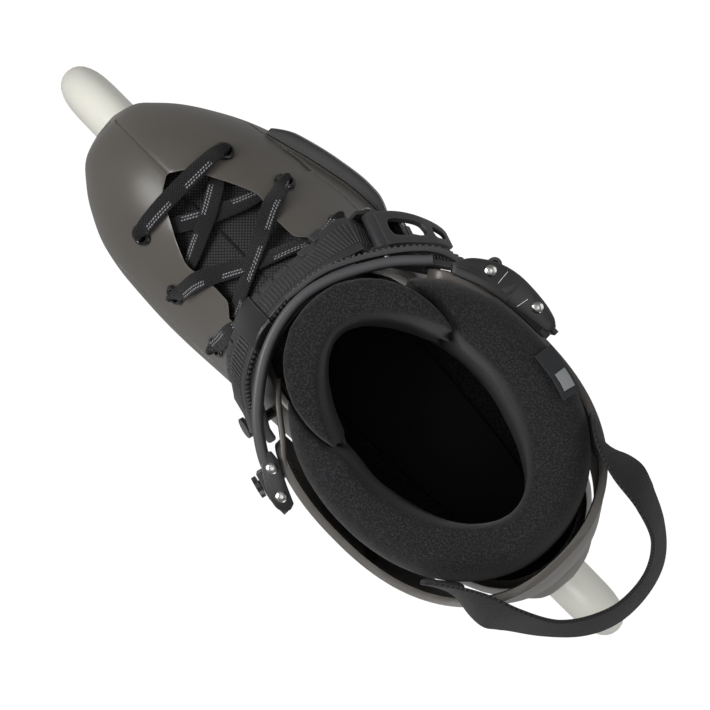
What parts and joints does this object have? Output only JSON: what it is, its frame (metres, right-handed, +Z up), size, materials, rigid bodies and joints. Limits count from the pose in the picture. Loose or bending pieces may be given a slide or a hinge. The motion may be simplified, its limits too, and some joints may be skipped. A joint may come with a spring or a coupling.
{
  "type": "inline skate",
  "caption": "Right-foot inline skate: moulded shell with laced throat, instep ratchet strap, hinged ankle cuff with buckle, padded liner and large wheels in a line on a metal frame.",
  "frame": {"origin": "where the middle wheel meets the ground, in the plane of the wheels", "axes": "+X toward the toe, +Y toward the inside of the right foot, +Z up"},
  "size_m": [0.395, 0.1504, 0.3464],
  "materials": {
    "shell_plastic": "satin warm dark grey moulded plastic",
    "black_plastic": "semi-gloss black moulded plastic",
    "strap_plastic": "satin cool dark grey flexible plastic",
    "frame_aluminium": "satin black anodised extrusion",
    "steel": "zinc plated",
    "wheel_urethane": "cast cream polyurethane",
    "hub_plastic": "glass-filled black nylon",
    "liner_fabric": "black knitted mesh over foam",
    "lace_fabric": "black flat braid with pale flecks",
    "webbing": "black woven webbing",
    "foam": "closed-cell foam"
  },
  "bodies": {
    "boot": {"bearing_spacer_front": "steel", "axle_front": "steel", "bearing_spacer_middle": "steel", "axle_middle": "steel", "bearing_spacer_rear": "steel", "axle_rear": "steel", "frame_chassis": "frame_aluminium", "mount_bolt_front": "steel", "mount_bolt_rear": "steel", "cuff_bolt_inside": "steel", "cuff_bolt_outside": "steel", "cuff_nut_inside": "steel", "cuff_nut_outside": "steel", "instep_lever_pin": "steel", "instep_catch_pin": "steel", "instep_strap_bolt": "steel", "shell": "shell_plastic", "eyelet_front_inside": "black_plastic", "eyelet_front_outside": "black_plastic", "eyelet_middle_inside": "black_plastic", "eyelet_middle_outside": "black_plastic", "eyelet_rear_inside": "black_plastic", "eyelet_rear_outside": "black_plastic", "instep_buckle_base": "black_plastic", "slider_outside": "black_plastic", "instep_pad": "strap_plastic", "instep_ladder": "strap_plastic", "instep_keeper": "strap_plastic", "liner_boot": "liner_fabric", "tongue_lower": "liner_fabric", "lace": "lace_fabric", "heel_shock_pad": "foam", "footbed": "foam"},
    "wheel_front": {"tyre_front": "wheel_urethane", "hub_front": "hub_plastic", "bearing_front_inside": "steel", "bearing_front_outside": "steel"},
    "wheel_middle": {"tyre_middle": "wheel_urethane", "hub_middle": "hub_plastic", "bearing_middle_inside": "steel", "bearing_middle_outside": "steel"},
    "wheel_rear": {"tyre_rear": "wheel_urethane", "hub_rear": "hub_plastic", "bearing_rear_inside": "steel", "bearing_rear_outside": "steel"},
    "cuff": {"cuff": "shell_plastic", "liner_collar": "liner_fabric", "tongue_upper": "liner_fabric", "pull_loop": "webbing", "label_tab": "liner_fabric", "cuff_pad": "strap_plastic", "cuff_strap_anchor": "black_plastic", "cuff_strap_bolt": "steel", "cuff_buckle_base": "black_plastic", "cuff_lever_pin": "steel", "cuff_catch_pin": "steel", "cuff_ladder": "strap_plastic"},
    "cuff_lever": {"cuff_lever": "strap_plastic"},
    "instep_lever": {"instep_lever": "strap_plastic"},
    "instep_catch": {"instep_catch": "black_plastic"}
  },
  "joints": [
    {"name": "wheel_front_spin", "type": "hinge", "parent": "boot", "child": "wheel_front", "pos_m": [0.135, 0, 0.0625], "axis": [0, 1, 0], "continuous": true},
    {"name": "wheel_middle_spin", "type": "hinge", "parent": "boot", "child": "wheel_middle", "pos_m": [0, 0, 0.0625], "axis": [0, 1, 0], "continuous": true},
    {"name": "wheel_rear_spin", "type": "hinge", "parent": "boot", "child": "wheel_rear", "pos_m": [-0.135, 0, 0.0625], "axis": [0, 1, 0], "continuous": true},
    {"name": "cuff_flex", "type": "hinge", "parent": "boot", "child": "cuff", "pos_m": [-0.075, 0, 0.225], "axis": [0, 1, 0], "range_deg": [-3, 5.5], "stiffness_Nm_per_rad": 15},
    {"name": "cuff_lever_swing", "type": "hinge", "parent": "cuff", "child": "cuff_lever", "pos_m": [-0.0205, -0.0728, 0.2955], "axis": [0, 0, 1], "range_deg": [0, 95]},
    {"name": "instep_lever_lift", "type": "hinge", "parent": "boot", "child": "instep_lever", "pos_m": [0.0262, -0.04768, 0.25103], "axis": [-0.7477, 0.2689, 0.6072], "range_deg": [0, 75]},
    {"name": "instep_catch_press", "type": "hinge", "parent": "boot", "child": "instep_catch", "pos_m": [0.0138, -0.05613, 0.23951], "axis": [0.7477, -0.2689, -0.6072], "range_deg": [0, 12], "stiffness_Nm_per_rad": 0.02}
  ]
}
